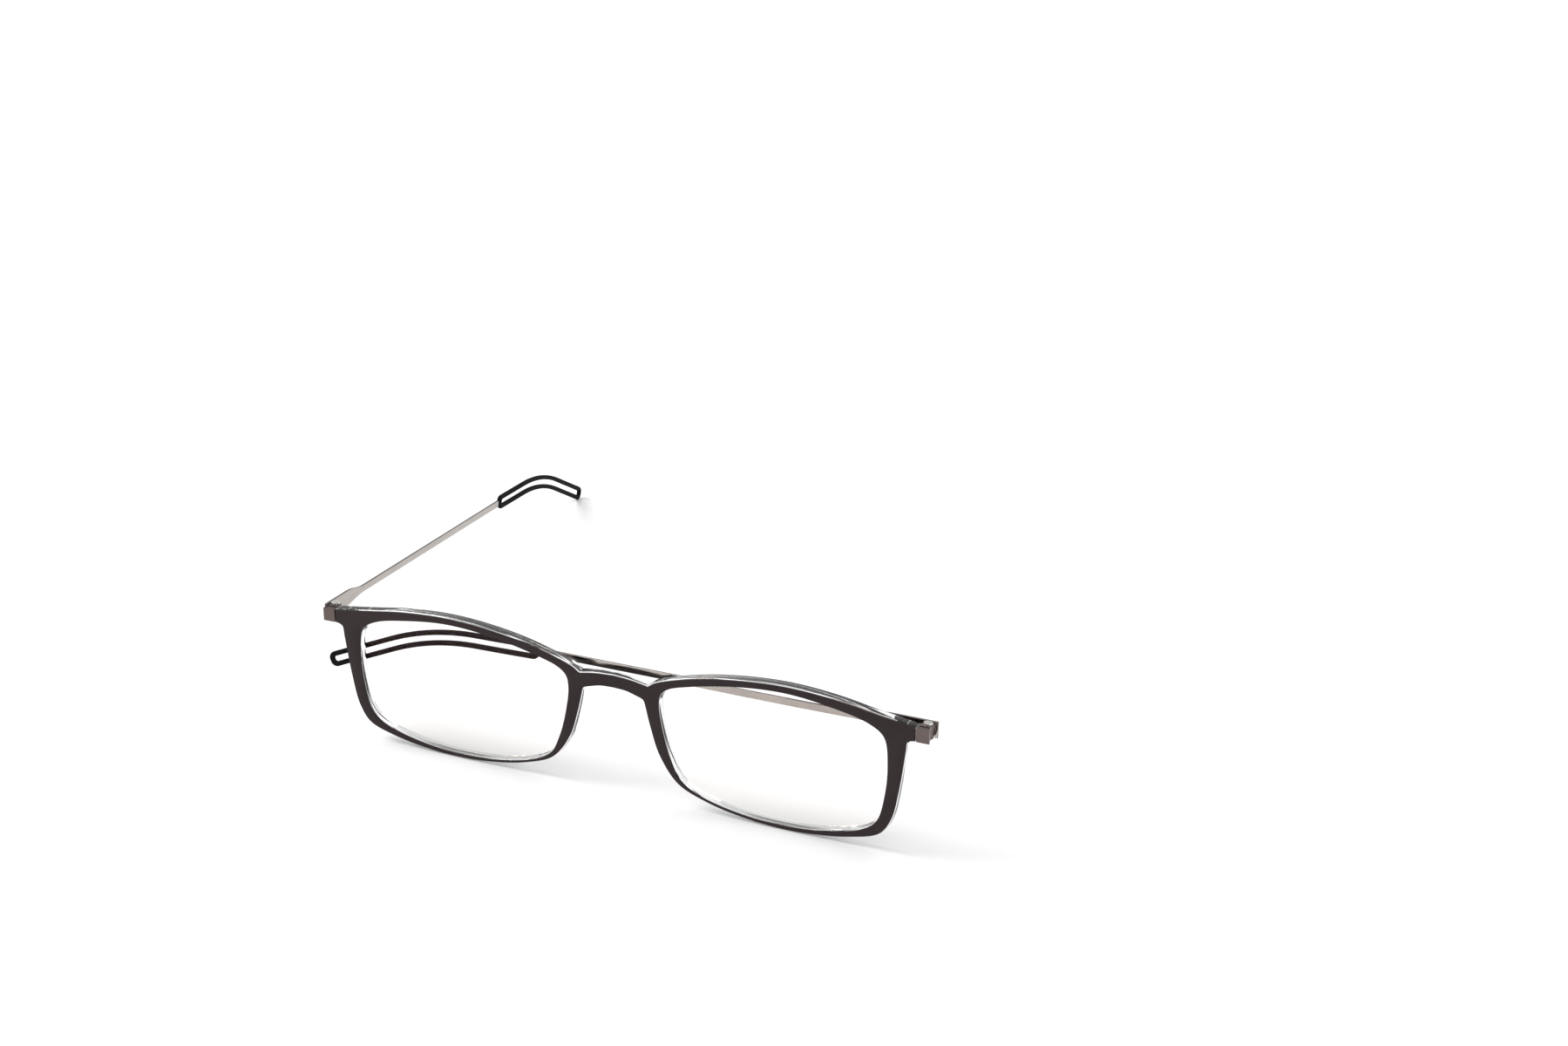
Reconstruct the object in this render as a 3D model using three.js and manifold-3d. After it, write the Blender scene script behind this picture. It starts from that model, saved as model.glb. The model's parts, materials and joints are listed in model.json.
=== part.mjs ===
// Slim folding reading glasses, in millimetres.
// X runs across the front, Y points from the front face back to the arm tips, Z is up.
// Each side is built once for +X and mirrored for -X. Seen by the wearer, who looks along -Y,
// the -X side is the right one. As built the right arm is open and the left arm is folded.
import * as THREE from "three";
import { mergeVertices } from "three/addons/utils/BufferGeometryUtils.js";
import Module from "manifold-3d";

const wasm = await Module();
wasm.setup();

const GAP = 0.03; // clearance between pieces that are fastened together
const RUNNING_GAP = 0.05; // radial clearance between the hinge screw and its bores

// Front: a thin dark face on a clear carrier that holds two magnifying lenses.
const FACE_THICKNESS = 0.4;
const FACE_BEVEL = 0.08;
const CARRIER_BACK = 2.4;
const LENS_FRONT = 1.5;
const LENS_CROWN = 3.15;
const LENS_SKIRT = 0.15; // the lens edge stops this far short of the carrier's back
const LENS_BACK_RADIUS = 400;
const LENS_CROWN_REACH = 27.5;
const LENS_CENTRE = { x: 36.2, z: 16.2 };
const LENS_EDGE_GAP = 0.05;
const FRONT_END = { x: 66.95, topZ: 29.25, bottomZ: 26.05 };

// Hinges: the screw's axis leans back, so an open arm slopes down to the ear.
const HINGE = { x: 68.45, y: 2.7, z: 27.65 };
const ARM_SLOPE = THREE.MathUtils.degToRad(5.95);
const BLOCK_HALF_HEIGHT = 1.45;
const BLOCK_END_GAP = 0.1;
const PLATE_THICKNESS = 0.42;
const PLATE_OUTER = 1.35; // how far the plate reaches past the screw's axis
const WEB = { inset: 0.1, outer: 1.0, back: -1.2 }; // between the plate and the lugs
const WALL_THICKNESS = 0.3;
const LUG = { thickness: 0.57, radius: 1.2, rootY: -1.45 };
const KNUCKLE_RADIUS = 1.0;
const KNUCKLE_HALF_HEIGHT = 0.7;
const SCREW_RADIUS = 0.45;
const SCREW_HEAD = { radius: 0.95, height: 0.36, slotWidth: 0.24, slotDepth: 0.16 };
const WASHER = { thickness: 0.1, gap: 0.035 };
const TANG = { length: 4.9, thickness: 0.45, height: 2.4, screwFromHinge: 4.2 };
const TANG_SCREW = {
  radius: 0.35, head: 0.75, headHeight: 0.3, depth: 0.85, slotWidth: 0.22, slotDepth: 0.14,
};

// Arms: a flat steel strip that ends in a rubber loop.
const OPEN_ANGLE = THREE.MathUtils.degToRad(-5.5); // splayed past square
const FOLDED_ANGLE = THREE.MathUtils.degToRad(90);
const STRIP = { inner: 1.3, thickness: 0.55, tail: 1.58, end: 88.5, halfHeight: 0.75 };
const ROOT = {
  topZ: 1.65, bottomZ: -1.9, tailTopZ: 1.7, tailBottomZ: -1.75, // height at the deep end
  topEnd: 8, bottomEnd: 6.5, stepEnd: 16, stepZ: -0.12, // where the depth starts and stops falling
  topEase: [3.5, 3], bottomEase: [3, 3.5],
};
const TONGUE = { length: 1.2, halfHeight: 0.42 };
const KNUCKLE_HEEL = { inner: 0.45, near: -0.75, far: 1.6, leafEnd: 2.6, leafThickness: 0.5 };
const LOOP = { start: 87.6, dip: 1.08, straight: 15.1, bendRadius: 53.5, bendAngle: 22.7, tail: 17.4 };
const LOOP_HALF_WIDTH = 1.7;
const LOOP_END_RADIUS = 1.5;
const LOOP_THICKNESS = 1.0;
const LOOP_CENTRE_Z = -0.565;
const LOOP_EDGE_BEVEL = 0.22;
const SLOT = { halfWidth: 0.6, endRadius: 0.55, fromStart: 1.3, fromEnd: 1.1 };

const material = (color, roughness, metalness, opacity = 1) =>
  new THREE.MeshStandardMaterial({ color, roughness, metalness, opacity, transparent: opacity < 1 });

const MATERIALS = {
  darkFace: material(0x3c3436, 0.45, 0.0),
  clear: material(0xeef2f4, 0.08, 0.0, 0.35),
  lens: material(0xfdf8f8, 0.03, 0.0, 0.2),
  gunmetal: material(0x6e6462, 0.35, 1.0),
  steel: material(0xb9b4ae, 0.32, 1.0),
  polishedSteel: material(0xd8d6d3, 0.15, 1.0),
  nylon: material(0xe6e2da, 0.5, 0.0),
  rubber: material(0x111112, 0.6, 0.0),
};

// Geometry helpers -------------------------------------------------------------------------

// A closed three.js geometry as a manifold-3d solid.
function toSolid(geometry) {
  const bare = geometry.index ? geometry.toNonIndexed() : geometry.clone();
  for (const name of Object.keys(bare.attributes)) {
    if (name !== "position") bare.deleteAttribute(name);
  }
  const merged = mergeVertices(bare, 1e-4);
  const mesh = new wasm.Mesh({
    numProp: 3,
    vertProperties: merged.attributes.position.array,
    triVerts: new Uint32Array(merged.index.array),
  });
  return new wasm.Manifold(mesh);
}

// A manifold-3d solid back as a three.js geometry.
function toGeometry(solid) {
  const mesh = solid.getMesh();
  const geometry = new THREE.BufferGeometry();
  geometry.setAttribute("position", new THREE.BufferAttribute(mesh.vertProperties, 3));
  geometry.setIndex(new THREE.BufferAttribute(mesh.triVerts, 1));
  const flat = geometry.toNonIndexed();
  flat.computeVertexNormals();
  return flat;
}

const unite = (...geometries) => geometries.map(toSolid).reduce((sum, solid) => sum.add(solid));

// A box between two corners.
function box([x0, y0, z0], [x1, y1, z1]) {
  const geometry = new THREE.BoxGeometry(x1 - x0, y1 - y0, z1 - z0);
  return geometry.translate((x0 + x1) / 2, (y0 + y1) / 2, (z0 + z1) / 2);
}

// A cylinder along Z from z0 to z1.
function discZ(radius, z0, z1, segments = 20) {
  const geometry = new THREE.CylinderGeometry(radius, radius, z1 - z0, segments);
  return geometry.rotateX(Math.PI / 2).translate(0, 0, (z0 + z1) / 2);
}

// A cylinder along Y from y0 to y1.
function discY(radius, y0, y1, segments = 16) {
  const geometry = new THREE.CylinderGeometry(radius, radius, y1 - y0, segments);
  return geometry.translate(0, (y0 + y1) / 2, 0);
}

// A ring about Z from z0 to z1.
function ringZ(inner, outer, z0, z1) {
  const profile = [[inner, z0], [outer, z0], [outer, z1], [inner, z1], [inner, z0]];
  const points = profile.map(([r, z]) => new THREE.Vector2(r, z));
  return new THREE.LatheGeometry(points, 20).rotateX(Math.PI / 2);
}

// A shape drawn in the front's X-Z plane, made solid from y0 back to y1.
function extrudeBack(shape, y0, y1, bevel = 0) {
  const geometry = new THREE.ExtrudeGeometry(shape, {
    depth: y1 - y0 - 2 * bevel,
    curveSegments: 5,
    bevelEnabled: bevel > 0,
    bevelThickness: bevel,
    bevelSize: bevel,
    bevelOffset: -bevel,
    bevelSegments: 1,
  });
  return geometry.rotateX(Math.PI / 2).translate(0, y1 - bevel, 0);
}

// A shape drawn along an arm (shape x runs to the tip, shape y up), thick from x0 to x1.
function extrudeArm(shape, x0, x1, bevel = 0) {
  const geometry = new THREE.ExtrudeGeometry(shape, {
    depth: x1 - x0 - 2 * bevel,
    curveSegments: 6,
    bevelEnabled: bevel > 0,
    bevelThickness: bevel,
    bevelSize: bevel,
    bevelOffset: -bevel,
    bevelSegments: 1,
  });
  const turn = new THREE.Matrix4().makeBasis(
    new THREE.Vector3(0, 1, 0),
    new THREE.Vector3(0, 0, 1),
    new THREE.Vector3(1, 0, 0),
  );
  return geometry.applyMatrix4(turn).translate(x0 + bevel, 0, 0);
}

function piece(name, geometry, look) {
  const mesh = new THREE.Mesh(geometry, MATERIALS[look]);
  mesh.name = name;
  return mesh;
}

// Front ------------------------------------------------------------------------------------

const points = (list, sign = 1) => list.map(([x, z]) => new THREE.Vector2(sign * x, z));

// Half of the outer outline, from the bridge's top centre out to the hinge and back under.
const BRIDGE_TOP = [[0, 27.15], [4.2, 26.85], [7.9, 26.2]];
const BROW = [[7.9, 26.2], [9.6, 27.35], [18, 29.95], [28, 31.7], [39, 32.45], [50, 31.8], [59, 30.45]];
const SHOULDER = [[66.2, 26.02], [65.35, 25.55], [65.05, 23.6]];
const LOWER_RIM = [
  [65.05, 23.6], [63.75, 14.6], [62.1, 7.5], [59.6, 3.8], [53, 1.55], [45, 0.3], [38, 0],
  [30, 0.5], [21.5, 2.15], [14.6, 5.05], [10.4, 10.8], [8.3, 17.2], [7.15, 22.0],
];
const BRIDGE_UNDER = [[6.1, 23.15], [3, 24.0], [0, 24.2]];

// The front's outer outline, the two halves mirror images of each other.
function frontOutline() {
  const half = (sign) => {
    const path = new THREE.Path();
    path.moveTo(0, BRIDGE_TOP[0][1]);
    path.splineThru(points(BRIDGE_TOP.slice(1), sign));
    path.splineThru(points(BROW.slice(1), sign));
    path.lineTo(sign * FRONT_END.x, FRONT_END.topZ);
    path.lineTo(sign * FRONT_END.x, FRONT_END.bottomZ);
    path.lineTo(sign * SHOULDER[0][0], SHOULDER[0][1]);
    path.splineThru(points(SHOULDER.slice(1), sign));
    path.splineThru(points(LOWER_RIM.slice(1), sign));
    path.quadraticCurveTo(sign * 6.95, 22.9, sign * BRIDGE_UNDER[0][0], BRIDGE_UNDER[0][1]);
    path.splineThru(points(BRIDGE_UNDER.slice(1), sign));
    return path.getPoints(3);
  };
  const right = half(1);
  const left = half(-1).reverse();
  return new THREE.Shape([...right, ...left.slice(1, -1)].reverse());
}

// One lens opening on the +X or -X side, drawn in by the inset.
const OPENING = [
  [10.5, 22.2], [11.0, 24.9], [12.8, 26.45], [17, 27.85], [28, 30.1], [39, 30.9], [49, 29.85],
  [57, 28.0], [60.2, 25.7], [61.05, 19.5], [60.45, 12.4], [58.9, 6.8], [56, 4.2], [47.5, 1.75],
  [38, 0.85], [28, 1.45], [19.5, 3.5], [15.2, 6.1], [12.9, 10.7], [11.2, 17.0],
];

function openingPoints(sign, inset = 0) {
  const corners = OPENING.map(([x, z]) => {
    const dx = x - LENS_CENTRE.x;
    const dz = z - LENS_CENTRE.z;
    const shrink = 1 - inset / Math.hypot(dx, dz);
    return new THREE.Vector3(sign * (LENS_CENTRE.x + dx * shrink), LENS_CENTRE.z + dz * shrink, 0);
  });
  const curve = new THREE.CatmullRomCurve3(corners, true, "centripetal");
  return curve.getPoints(64).slice(0, -1).map((p) => new THREE.Vector2(p.x, p.y));
}

function frontShape() {
  const shape = frontOutline();
  for (const sign of [1, -1]) shape.holes.push(new THREE.Path(openingPoints(sign)));
  return shape;
}

// The gently domed body that the lens backs and the carrier's crown are cut from.
function lensDome(sign) {
  const profile = [new THREE.Vector2(0, 0)];
  profile.push(new THREE.Vector2(LENS_CROWN_REACH, 0));
  const rings = 4;
  for (let i = rings; i >= 0; i -= 1) {
    const r = (LENS_CROWN_REACH * i) / rings;
    profile.push(new THREE.Vector2(r, LENS_CROWN - (r * r) / (2 * LENS_BACK_RADIUS)));
  }
  const dome = new THREE.LatheGeometry(profile, 40);
  return dome.translate(sign * LENS_CENTRE.x, 0, LENS_CENTRE.z);
}

function frontFace() {
  return piece("front_face", extrudeBack(frontShape(), 0, FACE_THICKNESS, FACE_BEVEL), "darkFace");
}

function frontCarrier() {
  const front = FACE_THICKNESS + GAP;
  const slab = box([-80, front - 1, -5], [80, CARRIER_BACK, 40]);
  const body = unite(slab, lensDome(1), lensDome(-1));
  let solid = toSolid(extrudeBack(frontShape(), front, LENS_CROWN + 1)).intersect(body);
  for (const sign of [1, -1]) {
    const hole = discY(TANG_SCREW.radius + GAP, CARRIER_BACK - TANG_SCREW.depth - GAP, CARRIER_BACK + 1);
    hole.translate(sign * (HINGE.x - TANG.screwFromHinge), 0, HINGE.z);
    solid = solid.subtract(toSolid(hole));
  }
  return piece("front_carrier", toGeometry(solid), "clear");
}

function lens(name, sign) {
  const outline = new THREE.Shape(openingPoints(sign, LENS_EDGE_GAP));
  const blank = toSolid(extrudeBack(outline, LENS_FRONT, LENS_CROWN + 1));
  return piece(name, toGeometry(blank.intersect(unite(lensDome(sign), lensSkirt(sign)))), "lens");
}

// Keeps the lens as thick as the carrier where it reaches past the dome's rim.
function lensSkirt(sign) {
  const x = sign * LENS_CENTRE.x;
  return box([x - 30, 0, -5], [x + 30, CARRIER_BACK - LENS_SKIRT, 40]);
}

// Hinge: everything below is drawn from the hinge's centre, x outward, y back, z up ---------

const tilt = (geometry) => geometry.rotateX(-ARM_SLOPE);

function hingeBlock(side) {
  const h = BLOCK_HALF_HEIGHT;
  const faceY = -HINGE.y;
  const carrierBackY = CARRIER_BACK - HINGE.y + GAP;
  const innerX = FRONT_END.x + BLOCK_END_GAP - HINGE.x;
  const tangBackY = carrierBackY + TANG.thickness;
  const wallX = innerX + WALL_THICKNESS;
  const plate = box([innerX, faceY, -h], [PLATE_OUTER, faceY + PLATE_THICKNESS, h]);
  const web = box([innerX, faceY + WEB.inset, -h], [WEB.outer, WEB.back, h]);
  const innerWall = box([innerX, faceY + WEB.inset, -h], [wallX, tangBackY, h]);
  const tangHalf = TANG.height / 2;
  const tang = box([innerX - TANG.length, carrierBackY, -tangHalf], [wallX, tangBackY, tangHalf]);
  let solid = unite(plate, web, innerWall, tang);
  for (const sign of [1, -1]) {
    const [z0, z1] = [h - LUG.thickness, h].map((z) => sign * z).sort((a, b) => a - b);
    const root = box([-LUG.radius, LUG.rootY, z0], [WEB.outer, 0, z1]);
    const lug = unite(tilt(discZ(LUG.radius, z0, z1)), tilt(root));
    solid = solid.add(lug);
  }
  const bore = tilt(discZ(SCREW_RADIUS + RUNNING_GAP, -3, 3));
  const tangHole = discY(TANG_SCREW.radius + RUNNING_GAP, -2, 1);
  tangHole.translate(-TANG.screwFromHinge, 0, 0);
  solid = solid.subtract(toSolid(bore)).subtract(toSolid(tangHole));
  return piece(`${side}_hinge_block`, toGeometry(solid), "gunmetal");
}

function tangScrew(side) {
  const backY = CARRIER_BACK - HINGE.y + TANG.thickness + 2 * GAP;
  const tipY = CARRIER_BACK - HINGE.y - TANG_SCREW.depth + GAP;
  const shank = discY(TANG_SCREW.radius, tipY, backY + 0.1);
  const head = discY(TANG_SCREW.head, backY, backY + TANG_SCREW.headHeight);
  const slotFloor = backY + TANG_SCREW.headHeight - TANG_SCREW.slotDepth;
  const slotHalf = TANG_SCREW.slotWidth / 2;
  const slot = box([-2, slotFloor, -slotHalf], [2, backY + 1, slotHalf]);
  const solid = unite(shank, head).subtract(toSolid(slot));
  const mesh = piece(`${side}_tang_screw`, toGeometry(solid), "polishedSteel");
  mesh.position.x = -TANG.screwFromHinge;
  return mesh;
}

function hingeScrew(side) {
  const top = BLOCK_HALF_HEIGHT + GAP;
  const shank = discZ(SCREW_RADIUS, -BLOCK_HALF_HEIGHT, top + 0.1);
  const head = discZ(SCREW_HEAD.radius, top, top + SCREW_HEAD.height, 24);
  const slotFloor = top + SCREW_HEAD.height - SCREW_HEAD.slotDepth;
  const slot = box([-2, -SCREW_HEAD.slotWidth / 2, slotFloor], [2, SCREW_HEAD.slotWidth / 2, top + 1]);
  const solid = unite(shank, head).subtract(toSolid(slot.rotateZ(0.6)));
  return piece(`${side}_hinge_screw`, toGeometry(solid), "polishedSteel");
}

function washer(side, place, sign) {
  const near = KNUCKLE_HALF_HEIGHT + WASHER.gap;
  const far = near + WASHER.thickness;
  const [z0, z1] = sign > 0 ? [near, far] : [-far, -near];
  const ring = ringZ(SCREW_RADIUS + RUNNING_GAP, KNUCKLE_RADIUS, z0, z1);
  return piece(`${side}_${place}_washer`, ring, "nylon");
}

// Arm: drawn open and square to the front, before it turns about the hinge -----------------

function armKnuckle(side) {
  const half = KNUCKLE_HALF_HEIGHT;
  const leafX = STRIP.inner - GAP;
  const barrel = discZ(KNUCKLE_RADIUS, -half, half);
  const { inner, near, far, leafEnd, leafThickness } = KNUCKLE_HEEL;
  const heel = box([inner, near, -half], [leafX, far, half]);
  const leaf = box([leafX - leafThickness, near, -half], [leafX, leafEnd, half]);
  const bore = discZ(SCREW_RADIUS + RUNNING_GAP, -2, 2);
  const solid = unite(barrel, heel, leaf).subtract(toSolid(bore));
  return piece(`${side}_arm_knuckle`, toGeometry(solid), "gunmetal");
}

// The strip is deepest at the hinge, steps down, then runs straight to the loop's tongue.
function armStrip(side) {
  const h = STRIP.halfHeight;
  const shoulder = STRIP.end - TONGUE.length;
  const { topZ, bottomZ, topEnd, bottomEnd, stepEnd, stepZ, topEase, bottomEase } = ROOT;
  const shape = new THREE.Shape();
  shape.moveTo(-STRIP.tail, ROOT.tailBottomZ);
  shape.lineTo(bottomEnd, bottomZ);
  const low = stepZ - h;
  shape.bezierCurveTo(bottomEnd + bottomEase[0], bottomZ, stepEnd - bottomEase[1], low, stepEnd, low);
  shape.lineTo(shoulder, LOOP_CENTRE_Z - h);
  shape.lineTo(shoulder, LOOP_CENTRE_Z - TONGUE.halfHeight);
  shape.lineTo(STRIP.end, LOOP_CENTRE_Z - TONGUE.halfHeight);
  shape.lineTo(STRIP.end, LOOP_CENTRE_Z + TONGUE.halfHeight);
  shape.lineTo(shoulder, LOOP_CENTRE_Z + TONGUE.halfHeight);
  shape.lineTo(shoulder, LOOP_CENTRE_Z + h);
  shape.lineTo(stepEnd, stepZ + h);
  shape.bezierCurveTo(stepEnd - topEase[1], stepZ + h, topEnd + topEase[0], topZ, topEnd, topZ);
  shape.lineTo(-STRIP.tail, ROOT.tailTopZ);
  const geometry = extrudeArm(shape, STRIP.inner, STRIP.inner + STRIP.thickness);
  return piece(`${side}_arm_strip`, geometry, "steel");
}

// The loop's centre line: straight with a slight dip, a long bend down, then straight again.
function loopCentreLine() {
  const dip = THREE.MathUtils.degToRad(LOOP.dip);
  const bend = THREE.MathUtils.degToRad(LOOP.bendAngle);
  const ahead = (angle) => new THREE.Vector2(Math.cos(angle), -Math.sin(angle));
  const from = new THREE.Vector2(LOOP.start, LOOP_CENTRE_Z);
  const bendStart = from.clone().addScaledVector(ahead(dip), LOOP.straight);
  const hub = bendStart.clone().addScaledVector(ahead(dip + Math.PI / 2), LOOP.bendRadius);
  const bendEnd = hub.clone().addScaledVector(ahead(dip + bend - Math.PI / 2), LOOP.bendRadius);
  const tip = bendEnd.clone().addScaledVector(ahead(dip + bend), LOOP.tail);
  const path = new THREE.CurvePath();
  path.add(new THREE.LineCurve(from, bendStart));
  path.add(new THREE.EllipseCurve(
    hub.x, hub.y, LOOP.bendRadius, LOOP.bendRadius,
    Math.PI / 2 - dip, Math.PI / 2 - dip - bend, true,
  ));
  path.add(new THREE.LineCurve(bendEnd, tip));
  return path;
}

// The closed outline that keeps a half width from the centre line between two distances,
// with round corners at its ends.
function aroundLine(line, halfWidth, startAt, endAt, radius) {
  const total = line.getLength();
  const at = (distance, offset) => {
    const t = THREE.MathUtils.clamp(distance / total, 0, 1);
    const p = line.getPointAt(t);
    const along = line.getTangentAt(t);
    return new THREE.Vector2(p.x - along.y * offset, p.y + along.x * offset);
  };
  const outline = [];
  const steps = 18;
  const cornerSteps = 4;
  const near = startAt + radius;
  const far = endAt - radius;
  const edge = (sign, forward) => {
    for (let i = 0; i <= steps; i += 1) {
      const share = forward ? i / steps : 1 - i / steps;
      outline.push(at(near + (far - near) * share, sign * halfWidth));
    }
  };
  const corner = (centreAt, sign, from) => {
    for (let i = 1; i < cornerSteps; i += 1) {
      const angle = from + ((Math.PI / 2) * i) / cornerSteps;
      const offset = sign * (halfWidth - radius) + radius * Math.sin(angle);
      outline.push(at(centreAt + radius * Math.cos(angle), offset));
    }
  };
  edge(-1, true);
  corner(far, -1, -Math.PI / 2);
  corner(far, 1, 0);
  edge(1, false);
  corner(near, 1, Math.PI / 2);
  corner(near, -1, Math.PI);
  return outline;
}

function tipLoop(side) {
  const line = loopCentreLine();
  const total = line.getLength();
  const outer = aroundLine(line, LOOP_HALF_WIDTH, 0, total, LOOP_END_RADIUS);
  const slot = aroundLine(line, SLOT.halfWidth, SLOT.fromStart, total - SLOT.fromEnd, SLOT.endRadius);
  const shape = new THREE.Shape(outer);
  shape.holes.push(new THREE.Path(slot));
  const middle = STRIP.inner + STRIP.thickness / 2;
  const half = LOOP_THICKNESS / 2;
  const body = extrudeArm(shape, middle - half, middle + half, LOOP_EDGE_BEVEL);
  const socket = box(
    [STRIP.inner - GAP, LOOP.start - 1, LOOP_CENTRE_Z - TONGUE.halfHeight - GAP],
    [STRIP.inner + STRIP.thickness + GAP, STRIP.end + GAP, LOOP_CENTRE_Z + TONGUE.halfHeight + GAP],
  );
  return piece(`${side}_tip_loop`, toGeometry(toSolid(body).subtract(toSolid(socket))), "rubber");
}

// One side, drawn for +X, with its arm turned to the given angle.
function sideAssembly(side, armAngle) {
  const assembly = new THREE.Group();
  assembly.position.set(HINGE.x, HINGE.y, HINGE.z);
  assembly.add(hingeBlock(side), tangScrew(side));
  const hinge = new THREE.Group();
  hinge.rotation.x = -ARM_SLOPE;
  hinge.add(hingeScrew(side), washer(side, "upper", 1), washer(side, "lower", -1));
  const arm = new THREE.Group();
  arm.rotation.z = armAngle;
  arm.add(armKnuckle(side), armStrip(side), tipLoop(side));
  hinge.add(arm);
  assembly.add(hinge);
  return assembly;
}

const glasses = new THREE.Group();
glasses.add(frontFace(), frontCarrier(), lens("right_lens", -1), lens("left_lens", 1));
glasses.add(sideAssembly("left", FOLDED_ANGLE));
const mirrored = new THREE.Group();
mirrored.scale.x = -1;
mirrored.add(sideAssembly("right", OPEN_ANGLE));
glasses.add(mirrored);

// The origin is the middle of the footprint, on the surface that the glasses stand on.
const bounds = new THREE.Box3().setFromObject(glasses, true);
glasses.position.set(-(bounds.min.x + bounds.max.x) / 2, -(bounds.min.y + bounds.max.y) / 2, -bounds.min.z);

const part = new THREE.Group();
part.add(glasses);

export default part;
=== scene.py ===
"""Slim folding reading glasses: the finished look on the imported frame."""

import json
import math

import bmesh
import bpy
from mathutils import Matrix, Vector


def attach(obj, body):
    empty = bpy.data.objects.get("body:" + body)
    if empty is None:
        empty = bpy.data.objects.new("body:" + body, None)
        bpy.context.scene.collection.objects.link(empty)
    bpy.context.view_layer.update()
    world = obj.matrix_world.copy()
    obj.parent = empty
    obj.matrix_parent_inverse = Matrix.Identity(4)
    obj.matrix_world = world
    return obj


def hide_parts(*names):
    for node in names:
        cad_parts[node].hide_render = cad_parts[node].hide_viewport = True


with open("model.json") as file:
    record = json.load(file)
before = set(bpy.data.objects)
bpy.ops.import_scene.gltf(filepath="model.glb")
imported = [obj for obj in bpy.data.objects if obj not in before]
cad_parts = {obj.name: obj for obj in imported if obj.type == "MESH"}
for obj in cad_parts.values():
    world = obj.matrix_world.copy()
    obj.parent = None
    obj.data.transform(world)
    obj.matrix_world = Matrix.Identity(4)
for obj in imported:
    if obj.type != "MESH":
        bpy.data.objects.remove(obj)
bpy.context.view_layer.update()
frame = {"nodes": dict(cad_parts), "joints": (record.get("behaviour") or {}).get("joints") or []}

MM = 0.001

# The front, in millimetres from the middle of its face at floor level: X across, Z up, Y back.
FACE_THICKNESS = 0.4
FACE_INSET = 0.16
FACE_OPENING_INSET = 0.05
CARRIER_FRONT = 0.385
CARRIER_BACK = 2.4
CARRIER_BEVEL = 0.3
FRONT_END = {"x": 66.95, "top": 29.25, "bottom": 26.05}
END_UNDERSIDE = {"from_x": 64.9, "from_z": 25.0, "facing_below": -0.3}
END_WALL_DEPTH = 0.25
LENS_CENTRE = Vector((36.2, 16.2))
LENS_FRONT = 1.5
LENS_CROWN = 3.15
LENS_SKIRT = 0.15
LENS_BACK_RADIUS = 400
LENS_EDGE_GAP = 0.05
LENS_EDGE_EASE = 0.08
LENS_RINGS = [0.16, 0.34, 0.52, 0.68, 0.82, 0.92]
HINGE_DEPTH = 2.7
HINGE_HEIGHT = 27.65

# The front's edges, each a run of (X, Z) points.
BRIDGE_TOP = [(0, 27.15), (4.2, 26.85), (7.9, 26.2)]
BROW = [(7.9, 26.2), (9.6, 27.35), (18, 29.95), (28, 31.7), (39, 32.45), (50, 31.8), (59, 30.45)]
SHOULDER = [(66.2, 26.02), (65.35, 25.55), (65.05, 23.6)]
LOWER_RIM = [
    (65.05, 23.6), (63.75, 14.6), (62.1, 7.5), (59.6, 3.8), (53, 1.55), (45, 0.3), (38, 0),
    (30, 0.5), (21.5, 2.15), (14.6, 5.05), (10.4, 10.8), (8.3, 17.2), (7.15, 22.0),
]
NOSE_CORNER = [(7.15, 22.0), (7.0, 22.7), (6.8, 22.95), (6.1, 23.15)]
BRIDGE_UNDER = [(6.1, 23.15), (3, 24.0), (0, 24.2)]
OPENING = [
    (10.5, 22.2), (11.0, 24.9), (12.8, 26.45), (17, 27.85), (28, 30.1), (39, 30.9), (49, 29.85),
    (57, 28.0), (60.2, 25.7), (61.05, 19.5), (60.45, 12.4), (58.9, 6.8), (56, 4.2), (47.5, 1.75),
    (38, 0.85), (28, 1.45), (19.5, 3.5), (15.2, 6.1), (12.9, 10.7), (11.2, 17.0),
]

# The arms, in millimetres from the hinge's axis: x outward, y to the tip, z up. Points are (y, z).
OPEN_ANGLE = math.radians(-5.5)
FOLDED_ANGLE = math.radians(90)
STRIP_INNER = 1.3
STRIP_THICKNESS = 0.55
STRIP_TAIL = {"length": 1.58, "top": 1.7, "bottom": -1.75}
STRIP_HALF_HEIGHT = 0.75
STRIP_END = 88.5
ROOT_TOP = [(8, 1.65), (11.5, 1.65), (13, 0.63), (16, 0.63)]
ROOT_BOTTOM = [(6.5, -1.9), (9.5, -1.9), (12.5, -0.87), (16, -0.87)]
TONGUE_LENGTH = 1.2
TONGUE_HALF_HEIGHT = 0.42
LOOP_START = 87.6
LOOP_DIP = math.radians(1.08)
LOOP_STRAIGHT = 15.1
LOOP_BEND_RADIUS = 53.5
LOOP_BEND = math.radians(22.7)
LOOP_END_STRAIGHT = 17.4
LOOP_LENGTH = LOOP_STRAIGHT + LOOP_BEND_RADIUS * LOOP_BEND + LOOP_END_STRAIGHT
LOOP_CENTRE_Z = -0.565
LOOP_HALF_WIDTH = 1.7
LOOP_END_RADIUS = 1.5
LOOP_THICKNESS = 1.0
LOOP_BEVEL = 0.36
SLOT_HALF_WIDTH = 0.6
SLOT_END_RADIUS = 0.55
SLOT_FROM_START = 1.3
SLOT_FROM_END = 1.1

# Meshes: the edge bevel of the thin plates in millimetres, the distance in metres under which
# points are one, and the limits that tell a strip's edges from its sides and flat from bent.
THIN_BEVEL = 0.07
MERGE_DISTANCE = 0.000002
EDGE_FACING = 0.5
FLAT_ANGLE = math.radians(1)
BEND_ANGLE = math.radians(40)

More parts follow.
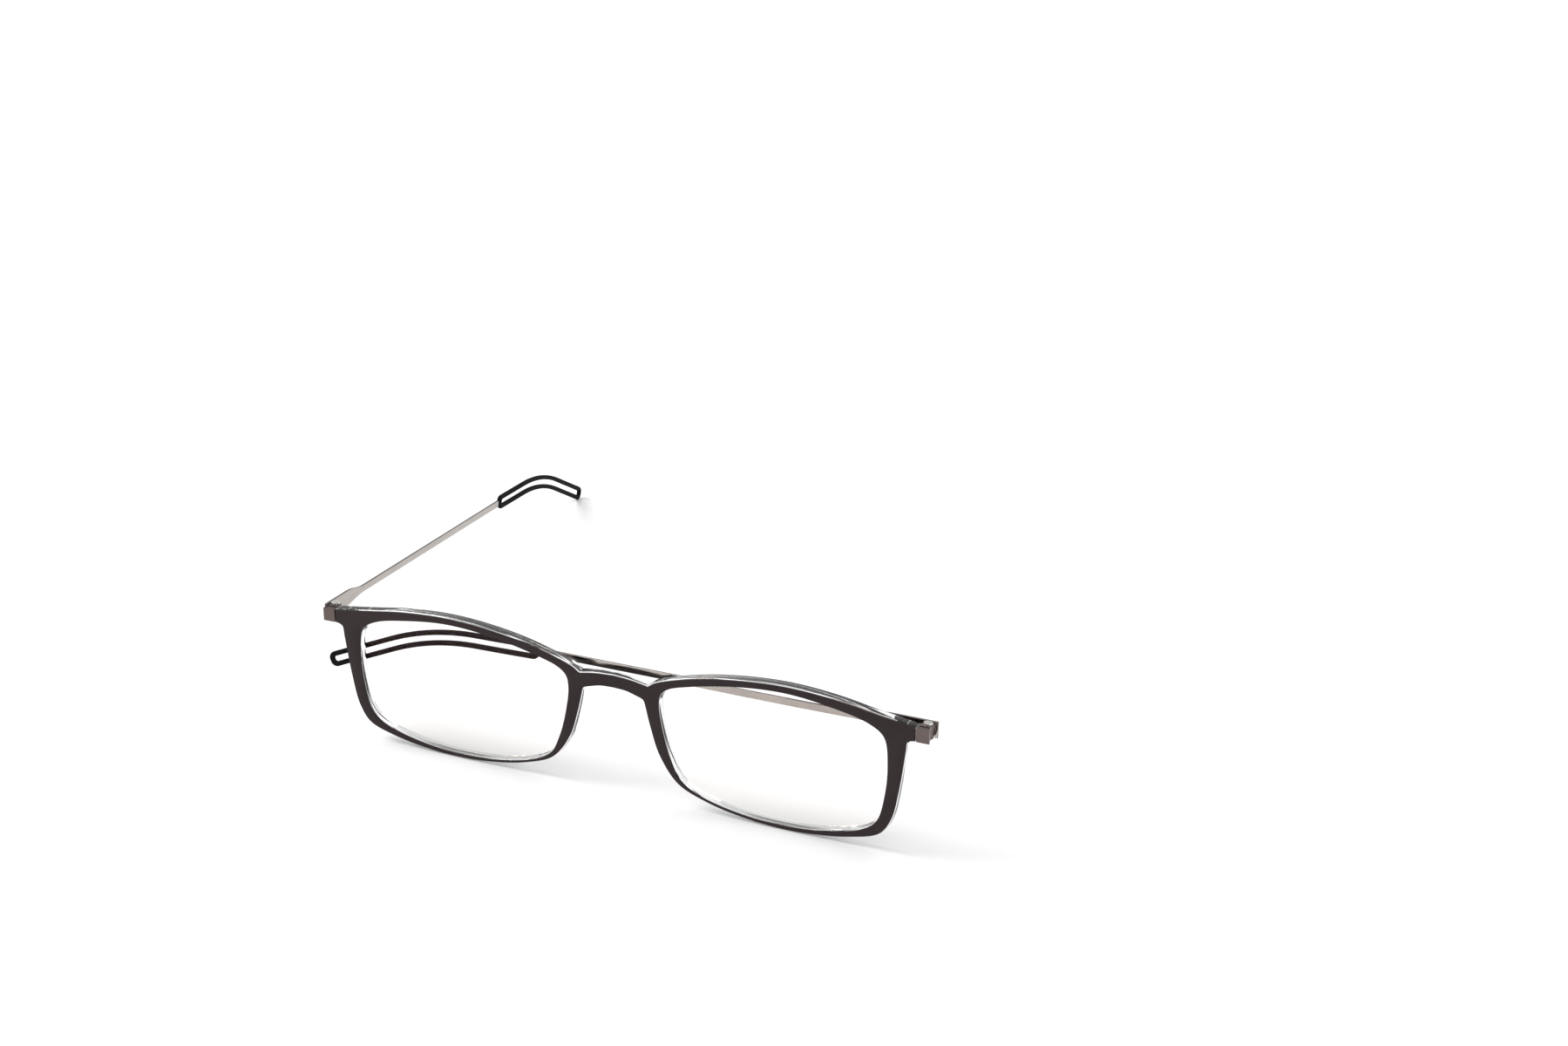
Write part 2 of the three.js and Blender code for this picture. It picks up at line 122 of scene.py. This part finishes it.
# The studio, in metres and watts.
WORLD_STRENGTH = 0.75
FLOOR_HALF_SIZE = 4.0
LIGHTS = {
    "key": {"place": (-1.13, -0.22, 1.15), "size": 0.9, "power": 17},
    "fill": {"place": (0.9, -0.9, 0.9), "size": 1.2, "power": 1.0},
    "back": {"place": (0.3, 1.3, 1.2), "size": 1.0, "power": 4},
}

# The view: the point looked at, in metres from the front's origin, and the camera's place.
CAMERA_TARGET = Vector((-0.02748, 0.14552, 0.0))
CAMERA_AZIMUTH = math.radians(24.44)
CAMERA_ELEVATION = math.radians(23.0)
CAMERA_DISTANCE = 0.7144
CAMERA_LENS = 64.0
CAMERA_SENSOR = 36
CAMERA_CLIP_START = 0.01

JOINTS = {joint["child"]: joint for joint in frame["joints"]}
HINGE_MIDDLE = sum((Vector(joint["pos_m"]) for joint in frame["joints"]), Vector()) / 2
FRONT_ORIGIN = HINGE_MIDDLE - Vector((0, HINGE_DEPTH, HINGE_HEIGHT)) * MM


# Materials --------------------------------------------------------------------------------

# The colour sockets of a Mix node, and the range that holds most of a noise's values.
MIX_FIRST, MIX_SECOND, MIX_RESULT = 6, 7, 2
NOISE_LOW, NOISE_HIGH = 0.3, 0.7
NOISE_ROUGHNESS = 0.55

# How a brushed metal's noise is stretched, so that its fine lines run level or upright.
LEVEL_LINES = (0.1, 0.1, 1)
UPRIGHT_LINES = (1, 1, 0.2)


class Material:
    """A node material under construction: a Principled shader and helpers that feed it."""

    def __init__(self, name, **values):
        self.material = bpy.data.materials.new(name)
        self.material.use_nodes = True
        self.tree = self.material.node_tree
        self.shader = self.tree.nodes["Principled BSDF"]
        for socket, value in values.items():
            self.shader.inputs[socket.replace("_", " ")].default_value = value

    def node(self, kind, **settings):
        """Adds a node. A setting names one of its sockets, or else a property."""
        made = self.tree.nodes.new(kind)
        for key, value in settings.items():
            socket = key.replace("_", " ")
            if socket in made.inputs:
                made.inputs[socket].default_value = value
            else:
                setattr(made, key, value)
        return made

    def link(self, source, target):
        self.tree.links.new(source, target)

    def noise(self, scale, detail, stretch=(1, 1, 1)):
        """Noise over the object's own coordinates, scaled by the stretch."""
        coordinates = self.node("ShaderNodeTexCoord")
        mapping = self.node("ShaderNodeMapping", Scale=stretch)
        self.link(coordinates.outputs["Object"], mapping.inputs["Vector"])
        made = self.node("ShaderNodeTexNoise", Scale=scale, Detail=detail,
                         Roughness=NOISE_ROUGHNESS)
        self.link(mapping.outputs["Vector"], made.inputs["Vector"])
        return made.outputs["Fac"]

    def ramp(self, noise, low, high):
        """Remaps a noise to run from low to high."""
        made = self.node("ShaderNodeMapRange", From_Min=NOISE_LOW, From_Max=NOISE_HIGH,
                         To_Min=low, To_Max=high)
        self.link(noise, made.inputs["Value"])
        return made.outputs["Result"]

    def blend(self, noise, first, second):
        """Mixes two colours by a noise."""
        made = self.node("ShaderNodeMix", data_type="RGBA")
        self.link(self.ramp(noise, 0.0, 1.0), made.inputs["Factor"])
        made.inputs[MIX_FIRST].default_value = (*first, 1.0)
        made.inputs[MIX_SECOND].default_value = (*second, 1.0)
        return made.outputs[MIX_RESULT]

    def bump(self, noise, strength, depth):
        made = self.node("ShaderNodeBump", Strength=strength, Distance=depth)
        self.link(noise, made.inputs["Height"])
        self.link(made.outputs["Normal"], self.shader.inputs["Normal"])


def surface(name, grain, rough, tones=None, cloud=None, bump=None, **shader):
    """A material whose grain, a fine noise, sets its roughness between two values, and its bump.
    Its two tones are mixed by the cloud, a broader noise, or by the grain if it has none."""
    made = Material(name, **shader)
    grain = made.noise(**grain)
    if tones:
        mixer = made.noise(**cloud) if cloud else grain
        made.link(made.blend(mixer, *tones), made.shader.inputs["Base Color"])
    made.link(made.ramp(grain, *rough), made.shader.inputs["Roughness"])
    if bump:
        made.bump(grain, **bump)
    return made.material


def brushed(name, stretch, rough, tones):
    """Satin metal with fine lines along one direction."""
    return surface(name, Metallic=1.0, tones=tones, rough=rough,
                   cloud={"scale": 90, "detail": 3},
                   grain={"scale": 1500, "detail": 3, "stretch": stretch},
                   bump={"strength": 0.25, "depth": 0.00002})


# Geometry helpers -------------------------------------------------------------------------

def spline(points, steps, closed=False):
    """A smooth curve through points: centripetal Catmull-Rom, with steps to each stretch."""
    points = [Vector(p) for p in points]
    count = len(points)

    def knot(i):
        if closed:
            return points[i % count]
        if i < 0:
            return points[0] * 2 - points[1]
        if i >= count:
            return points[-1] * 2 - points[-2]
        return points[i]

    made = []
    for i in range(count if closed else count - 1):
        p0, p1, p2, p3 = (knot(i + k) for k in (-1, 0, 1, 2))
        d0, d1, d2 = (math.sqrt((b - a).length) for a, b in ((p0, p1), (p1, p2), (p2, p3)))
        m1 = ((p1 - p0) / d0 - (p2 - p0) / (d0 + d1) + (p2 - p1) / d1) * d1
        m2 = ((p2 - p1) / d1 - (p3 - p1) / (d1 + d2) + (p3 - p2) / d2) * d1
        for k in range(steps):
            t = k / steps
            h00 = 2 * t**3 - 3 * t**2 + 1
            h10 = t**3 - 2 * t**2 + t
            h01 = -2 * t**3 + 3 * t**2
            h11 = t**3 - t**2
            made.append(p1 * h00 + m1 * h10 + p2 * h01 + m2 * h11)
    if not closed:
        made.append(points[-1])
    return made


def bezier(p0, p1, p2, p3, steps):
    """A cubic stretch, without its last point."""
    made = []
    for k in range(steps):
        t = k / steps
        s = 1 - t
        made.append(Vector(p0) * s**3 + Vector(p1) * 3 * s * s * t
                    + Vector(p2) * 3 * s * t * t + Vector(p3) * t**3)
    return made


def drawn_in(outline, inset):
    """The outline moved inward; its points run clockwise."""
    shortest_mitre = 0.5
    made = []
    for before, point, after in zip(outline[-1:] + outline, outline, outline[1:] + outline[:1]):
        first = (point - before).normalized()
        second = (after - point).normalized()
        inward = Vector((first.y + second.y, -first.x - second.x))
        made.append(point + inward * (inset / max(1 + first.dot(second), shortest_mitre)))
    return made


def plate(name, outlines, thickness, bevel, resolution):
    """A flat plate of outlines (the first outer, the others holes) in local XY, its thickness
    centred on Z, with rounded edges that stay inside the outline."""
    curve = bpy.data.curves.new(name, "CURVE")
    curve.dimensions = "2D"
    curve.fill_mode = "BOTH"
    curve.extrude = (thickness / 2 - bevel) * MM
    curve.bevel_depth = bevel * MM
    curve.bevel_resolution = resolution
    curve.offset = -bevel * MM
    for outline in outlines:
        part = curve.splines.new("POLY")
        part.points.add(len(outline) - 1)
        for point, place in zip(part.points, outline):
            point.co = (place[0] * MM, place[1] * MM, 0, 1)
        part.use_cyclic_u = True
    maker = bpy.data.objects.new(name + ".curve", curve)
    bpy.context.scene.collection.objects.link(maker)
    bpy.context.view_layer.update()
    evaluated = maker.evaluated_get(bpy.context.evaluated_depsgraph_get())
    mesh = bpy.data.meshes.new_from_object(evaluated)
    bpy.data.objects.remove(maker)
    bpy.data.curves.remove(curve)
    clean(mesh)
    return mesh


def clean(mesh):
    """Merges the seams that the curve leaves, and points every face outward."""
    work = bmesh.new()
    work.from_mesh(mesh)
    bmesh.ops.remove_doubles(work, verts=work.verts, dist=MERGE_DISTANCE)
    bmesh.ops.recalc_face_normals(work, faces=work.faces)
    work.to_mesh(mesh)
    work.free()


def piece(name, mesh, matrix, body, materials, replaced, sharp=40):
    """Places a mesh in the row frame as a shown piece that stands for a CAD node."""
    mesh.name = name
    mesh.transform(matrix)
    if matrix.determinant() < 0:
        mesh.flip_normals()
    mesh.shade_smooth()
    mesh.set_sharp_from_angle(angle=math.radians(sharp))
    mesh.materials.clear()
    for material in materials:
        mesh.materials.append(material)
    made = bpy.data.objects.new(name, mesh)
    bpy.context.scene.collection.objects.link(made)
    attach(made, body)
    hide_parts(replaced)
    return made


# The front --------------------------------------------------------------------------------

def front_outline(inset=0.0):
    """The front's outer edge, mirrored about its middle and drawn in by the inset."""
    half = spline(BRIDGE_TOP, steps=8)[:-1] + spline(BROW, steps=12)
    half += [Vector((FRONT_END["x"], FRONT_END[edge])) for edge in ("top", "bottom")]
    half += spline(SHOULDER, steps=8)[:-1] + spline(LOWER_RIM, steps=10)
    half += bezier(*NOSE_CORNER, steps=6)[1:] + spline(BRIDGE_UNDER, steps=6)
    mirrored = [Vector((-p.x, p.y)) for p in reversed(half[1:-1])]
    return drawn_in(half + mirrored, inset)


def opening(sign, inset=0.0):
    """A lens opening's edge, drawn in by the inset."""
    edge = []
    for p in spline(OPENING, steps=8, closed=True):
        away = p - LENS_CENTRE
        p = LENS_CENTRE + away * (1 - inset / away.length)
        edge.append(Vector((sign * p.x, p.y)))
    return edge


def dome(x, z):
    """How far back the lens surface lies at a point of the front."""
    away = Vector((abs(x), z)) - LENS_CENTRE
    return LENS_CROWN - away.length_squared / (2 * LENS_BACK_RADIUS)


def front_matrix(y):
    """Local XY onto the front's plane at depth y, local +Z towards the viewer of its face."""
    stand = Matrix.Rotation(math.radians(90), 4, "X")
    return Matrix.Translation(FRONT_ORIGIN + Vector((0, y * MM, 0))) @ stand


def front_face(material):
    """The dark layer, a little inside the carrier's outer edge and clear of the lens edges."""
    holes = [opening(sign, -FACE_OPENING_INSET) for sign in (1, -1)]
    mesh = plate("face", [front_outline(FACE_INSET), *holes], FACE_THICKNESS, THIN_BEVEL,
                 resolution=3)
    piece("face_layer", mesh, front_matrix(FACE_THICKNESS / 2), "front", [material],
          "front_face")


def front_carrier(clear, dark, end_highlight):
    """The clear body, its back following the lens domes. The dark layer wraps the undersides of
    its ends, and its end walls carry a light grey painted highlight."""
    dark_index, end_highlight_index = 1, 2
    depth = CARRIER_BACK - CARRIER_FRONT
    mesh = plate("carrier", [front_outline(), opening(1), opening(-1)], depth, CARRIER_BEVEL,
                 resolution=4)
    for vertex in mesh.vertices:
        x, z = vertex.co.x / MM, vertex.co.y / MM
        rise = max(0.0, dome(x, z) - CARRIER_BACK)
        share = 0.5 - vertex.co.z / (depth * MM)
        vertex.co.z -= rise * share * MM
    finish = {}
    for face in mesh.polygons:
        x, z = abs(face.center.x) / MM, face.center.y / MM
        at_underside = x > END_UNDERSIDE["from_x"] and z > END_UNDERSIDE["from_z"]
        # The end walls take a light grey painted highlight.
        if x > FRONT_END["x"] - END_WALL_DEPTH:
            finish[face.index] = end_highlight_index
        elif at_underside and face.normal.y < END_UNDERSIDE["facing_below"]:
            finish[face.index] = dark_index
    middle = (CARRIER_FRONT + CARRIER_BACK) / 2
    made = piece("clear_carrier", mesh, front_matrix(middle), "front", [clear, dark, end_highlight],
                 "front_carrier")
    for index, material in finish.items():
        made.data.polygons[index].material_index = material


def lens(name, sign, glass, lens_edge_shade, replaced):
    """A lens blank: flat in front, domed behind, its edge eased, and its side wall near-black as
    painted shade for the dark line at the lens edge.
    """
    work = bmesh.new()
    centre = Vector((sign * LENS_CENTRE.x, LENS_CENTRE.y))
    edge = opening(sign, LENS_EDGE_GAP)

    def front_depth(x, z):
        return LENS_FRONT

    def back_depth(x, z):
        return max(dome(x, z), CARRIER_BACK - LENS_SKIRT)

    def hub(depth):
        return work.verts.new((centre.x * MM, depth * MM, centre.y * MM))

    def ring(points, depth, deeper=0.0):
        return [work.verts.new((p.x * MM, (depth(p.x, p.y) + deeper) * MM, p.y * MM))
                for p in points]

    def scaled(share, inset=0.0):
        return [centre + (p - centre) * (share - inset / (p - centre).length) for p in edge]

    front_hub = hub(LENS_FRONT)
    rows = [ring(scaled(share), front_depth) for share in LENS_RINGS]
    rows.append(ring(scaled(1, LENS_EDGE_EASE), front_depth))
    rows.append(ring(edge, front_depth, LENS_EDGE_EASE))
    rows.append(ring(edge, back_depth, -LENS_EDGE_EASE))
    rows.append(ring(scaled(1, LENS_EDGE_EASE), back_depth))
    rows += [ring(scaled(share), back_depth) for share in reversed(LENS_RINGS)]
    back_hub = hub(LENS_CROWN)
    wall = len(LENS_RINGS) + 1
    for i, (inner, outer) in enumerate(zip(rows, rows[1:])):
        for a, b in zip(range(len(edge)), [*range(1, len(edge)), 0]):
            face = work.faces.new((inner[a], inner[b], outer[b], outer[a]))
            # The side wall takes the near-black painted shade.
            face.material_index = 1 if i == wall else 0
    for middle, row in ((front_hub, rows[0]), (back_hub, rows[-1])):
        for a, b in zip(row, row[1:] + row[:1]):
            work.faces.new((middle, a, b))
    bmesh.ops.recalc_face_normals(work, faces=work.faces)
    mesh = bpy.data.meshes.new(name)
    work.to_mesh(mesh)
    work.free()
    piece(name, mesh, Matrix.Translation(FRONT_ORIGIN), "front", [glass, lens_edge_shade],
          replaced, sharp=30)


# The arms ---------------------------------------------------------------------------------

def arm_matrix(joint, angle, outward):
    """Arm plates are drawn in local XY (x to the tip, y up) and face local Z (outward).
    This puts them on the joint's axis at the angle that the arm has at rest."""
    axis = -Vector(joint["axis"]).normalized()
    lean = Matrix.Rotation(-math.atan2(axis.y, axis.z), 4, "X")
    turn = Matrix.Rotation(angle, 4, "Z")
    basis = Matrix(((0, 0, 1, 0), (1, 0, 0, 0), (0, 1, 0, 0), (0, 0, 0, 1)))
    side = Matrix.Diagonal((outward, 1, 1, 1))
    return Matrix.Translation(Vector(joint["pos_m"])) @ side @ lean @ turn @ basis


def strip_outline():
    """The strip is deepest at the hinge, steps down, then runs straight to the loop."""
    shoulder = STRIP_END - TONGUE_LENGTH

    def edge(root, tail, half_height):
        made = [Vector((-STRIP_TAIL["length"], STRIP_TAIL[tail]))] + bezier(*root, steps=14)
        return made + [Vector(root[-1]), Vector((shoulder, LOOP_CENTRE_Z + half_height))]

    tongue = [(shoulder, -1), (STRIP_END, -1), (STRIP_END, 1), (shoulder, 1)]
    tongue = [Vector((x, LOOP_CENTRE_Z + side * TONGUE_HALF_HEIGHT)) for x, side in tongue]
    lower = edge(ROOT_BOTTOM, "bottom", -STRIP_HALF_HEIGHT)
    upper = edge(ROOT_TOP, "top", STRIP_HALF_HEIGHT)
    return lower + tongue + upper[::-1]


def loop_point(distance, offset):
    """A point of the loop's plane, from its distance along the centre line and its offset.
    The line dips a little, bends down over a long arc, then runs straight to the tip."""
    bent = min(max(distance - LOOP_STRAIGHT, 0.0), LOOP_BEND_RADIUS * LOOP_BEND)
    angle = LOOP_DIP + bent / LOOP_BEND_RADIUS
    straight = min(distance, LOOP_STRAIGHT)
    past = distance - straight - bent
    start = Vector((LOOP_START, LOOP_CENTRE_Z))
    ahead = Vector((math.cos(LOOP_DIP), -math.sin(LOOP_DIP)))
    arc = Vector((math.sin(angle) - math.sin(LOOP_DIP), math.cos(angle) - math.cos(LOOP_DIP)))
    along = Vector((math.cos(angle), -math.sin(angle)))
    across = Vector((math.sin(angle), math.cos(angle)))
    return start + ahead * straight + arc * LOOP_BEND_RADIUS + along * past + across * offset


def around_loop(half_width, start, end, radius):
    """A closed outline at a half width from the centre line, with round corners."""
    edge_steps = 60
    corner_steps = 8
    made = []

    def edge(side, forward):
        first, last = start + radius, end - radius
        for k in range(edge_steps + 1):
            share = k / edge_steps if forward else 1 - k / edge_steps
            made.append(loop_point(first + (last - first) * share, side * half_width))

    def corner(at, offset, quarter):
        for k in range(1, corner_steps):
            angle = (quarter + k / corner_steps) * math.pi / 2
            made.append(loop_point(at + radius * math.cos(angle),
                                   offset + radius * math.sin(angle)))

    edge(-1, True)
    corner(end - radius, radius - half_width, -1)
    corner(end - radius, half_width - radius, 0)
    edge(1, False)
    corner(start + radius, half_width - radius, 1)
    corner(start + radius, radius - half_width, 2)
    return made


def arm(side, angle, outward, steel, steel_edge_shade, rubber):
    """An arm's steel strip, its edges in a darker copy of the steel as painted shade, and its open
    rubber loop.
    """
    body = f"{side}_arm"
    outside = Matrix.Translation((0, 0, (STRIP_INNER + STRIP_THICKNESS / 2) * MM))
    place = arm_matrix(JOINTS[body], angle, outward) @ outside
    strip = plate("strip", [strip_outline()], STRIP_THICKNESS, THIN_BEVEL, resolution=2)
    edges = [face.index for face in strip.polygons if abs(face.normal.z) < EDGE_FACING]
    made = piece(f"{side}_strip", strip, place, body, [steel, steel_edge_shade],
                 f"{side}_arm_strip")
    # The strip's edges take the darker steel, a painted shade.
    for index in edges:
        made.data.polygons[index].material_index = 1
    outer = around_loop(LOOP_HALF_WIDTH, 0, LOOP_LENGTH, LOOP_END_RADIUS)
    slot = around_loop(SLOT_HALF_WIDTH, SLOT_FROM_START, LOOP_LENGTH - SLOT_FROM_END,
                       SLOT_END_RADIUS)
    loop = plate("loop", [outer, slot], LOOP_THICKNESS, LOOP_BEVEL, resolution=4)
    piece(f"{side}_loop", loop, place, body, [rubber], f"{side}_tip_loop", sharp=60)


# CAD nodes that stay ----------------------------------------------------------------------

def finish_node(name, material, bevel):
    """Gives a CAD node its material, and eases its edges by a bevel in millimetres."""
    node = frame["nodes"][name]
    node.data.materials.clear()
    node.data.materials.append(material)
    flatten = node.modifiers.new("flatten", "DECIMATE")
    flatten.decimate_type = "DISSOLVE"
    flatten.angle_limit = FLAT_ANGLE
    ease = node.modifiers.new("ease", "BEVEL")
    ease.width = bevel * MM
    ease.segments = 2
    ease.limit_method = "ANGLE"
    ease.angle_limit = BEND_ANGLE


# Studio -----------------------------------------------------------------------------------

def studio():
    """A white world, a pale paper floor and three soft lights."""
    world = bpy.data.worlds.new("studio")
    bpy.context.scene.world = world
    world.use_nodes = True
    background = world.node_tree.nodes["Background"]
    background.inputs["Color"].default_value = (1, 1, 1, 1)
    background.inputs["Strength"].default_value = WORLD_STRENGTH
    mesh = bpy.data.meshes.new("floor")
    corners = [(x * FLOOR_HALF_SIZE, y * FLOOR_HALF_SIZE, 0)
               for x, y in ((-1, -1), (1, -1), (1, 1), (-1, 1))]
    mesh.from_pydata(corners, [], [(0, 1, 2, 3)])
    floor = bpy.data.objects.new("floor", mesh)
    bpy.context.scene.collection.objects.link(floor)
    paper = Material("floor_paper", Base_Color=(0.93, 0.93, 0.93, 1), Roughness=0.8)
    mesh.materials.append(paper.material)
    for name, settings in LIGHTS.items():
        area_light(name, **settings)


def area_light(name, place, size, power):
    """A round light that faces the origin."""
    light = bpy.data.lights.new(name, "AREA")
    light.shape = "DISK"
    light.size = size
    light.energy = power
    made = bpy.data.objects.new(name, light)
    bpy.context.scene.collection.objects.link(made)
    made.location = place
    made.rotation_mode = "QUATERNION"
    made.rotation_quaternion = (-Vector(place)).to_track_quat("-Z", "Y")


def camera():
    level = math.cos(CAMERA_ELEVATION)
    back = Vector((math.sin(CAMERA_AZIMUTH) * level, -math.cos(CAMERA_AZIMUTH) * level,
                   math.sin(CAMERA_ELEVATION)))
    data = bpy.data.cameras.new("camera")
    data.lens = CAMERA_LENS
    data.sensor_width = CAMERA_SENSOR
    data.clip_start = CAMERA_CLIP_START
    made = bpy.data.objects.new("camera", data)
    bpy.context.scene.collection.objects.link(made)
    made.location = FRONT_ORIGIN + CAMERA_TARGET + back * CAMERA_DISTANCE
    made.rotation_mode = "QUATERNION"
    made.rotation_quaternion = (-back).to_track_quat("-Z", "Y")
    bpy.context.scene.camera = made


camera()
studio()

clear = surface("clear_polycarbonate", Base_Color=(0.97, 0.975, 0.98, 1), IOR=1.5,
                Transmission_Weight=1.0, rough=(0.0, 0.03),
                grain={"scale": 140, "detail": 2})
glass = surface("coated_lens", Base_Color=(1.0, 0.986, 0.974, 1), IOR=1.5,
                Transmission_Weight=1.0, Thin_Film_Thickness=135.0, Thin_Film_IOR=1.25,
                rough=(0.0, 0.02), grain={"scale": 60, "detail": 2})
# Near-black painted shade on the lens side walls, for the dark line at the lens edges.
lens_edge_shade = surface("lens_edge_painted_shade", Specular_IOR_Level=0.2, rough=(0.5, 0.7),
                 tones=((0.03, 0.026, 0.027), (0.06, 0.053, 0.055)),
                 grain={"scale": 2000, "detail": 2, "stretch": (1, 0.2, 1)})
dark = surface("dark_face_satin", Specular_IOR_Level=0.14, rough=(0.34, 0.46),
               tones=((0.024, 0.0155, 0.017), (0.031, 0.021, 0.0225)),
               cloud={"scale": 120, "detail": 4},
               grain={"scale": 2600, "detail": 2, "stretch": (0.35, 1, 1.6)},
               bump={"strength": 0.12, "depth": 0.00003})
# Light grey painted highlight on the carrier's end walls, for the light line between the front and
# the hinge block.
end_highlight = surface("carrier_end_painted_highlight", Specular_IOR_Level=0.3, rough=(0.5, 0.7),
                  tones=((0.5, 0.485, 0.46), (0.66, 0.64, 0.61)),
                  grain={"scale": 1800, "detail": 2, "stretch": (1, 1, 0.2)})
front_face(dark)
front_carrier(clear, dark, end_highlight)
lens("lens_right", -1, glass, lens_edge_shade, "right_lens")
lens("lens_left", 1, glass, lens_edge_shade, "left_lens")

arm_steel = brushed("arm_steel_satin", LEVEL_LINES, rough=(0.08, 0.22),
                    tones=((0.36, 0.33, 0.31), (0.425, 0.393, 0.368)))
# A darker copy of the arm steel for the strip's edges: painted shade.
steel_edge_shade = brushed("arm_steel_edge_painted_shade", LEVEL_LINES, rough=(0.24, 0.38),
                     tones=((0.1, 0.088, 0.084), (0.15, 0.135, 0.128)))
gunmetal = brushed("hinge_gunmetal", UPRIGHT_LINES, rough=(0.2, 0.34),
                   tones=((0.114, 0.088, 0.083), (0.16, 0.127, 0.12)))
rubber = surface("tip_rubber_soft", Specular_IOR_Level=0.035, rough=(0.5, 0.68),
                 tones=((0.005, 0.005, 0.0055), (0.009, 0.0088, 0.009)),
                 cloud={"scale": 300, "detail": 4}, grain={"scale": 3000, "detail": 2},
                 bump={"strength": 0.2, "depth": 0.00003})
arm("right", OPEN_ANGLE, -1, arm_steel, steel_edge_shade, rubber)
arm("left", FOLDED_ANGLE, 1, arm_steel, steel_edge_shade, rubber)

polished = surface("polished_screw", Metallic=1.0, rough=(0.1, 0.24),
                   tones=((0.62, 0.6, 0.58), (0.86, 0.85, 0.83)),
                   grain={"scale": 900, "detail": 4})
nylon = surface("nylon_washer", Subsurface_Weight=0.1, rough=(0.4, 0.55),
                tones=((0.68, 0.66, 0.61), (0.78, 0.76, 0.71)),
                grain={"scale": 1200, "detail": 2})
for side in ("right", "left"):
    finish_node(f"{side}_hinge_block", gunmetal, bevel=0.08)
    finish_node(f"{side}_arm_knuckle", gunmetal, bevel=0.05)
    for screw in ("hinge_screw", "tang_screw"):
        finish_node(f"{side}_{screw}", polished, bevel=0.04)
    for washer in ("upper_washer", "lower_washer"):
        finish_node(f"{side}_{washer}", nylon, bevel=0.02)

bpy.context.scene.view_settings.view_transform = "Standard"
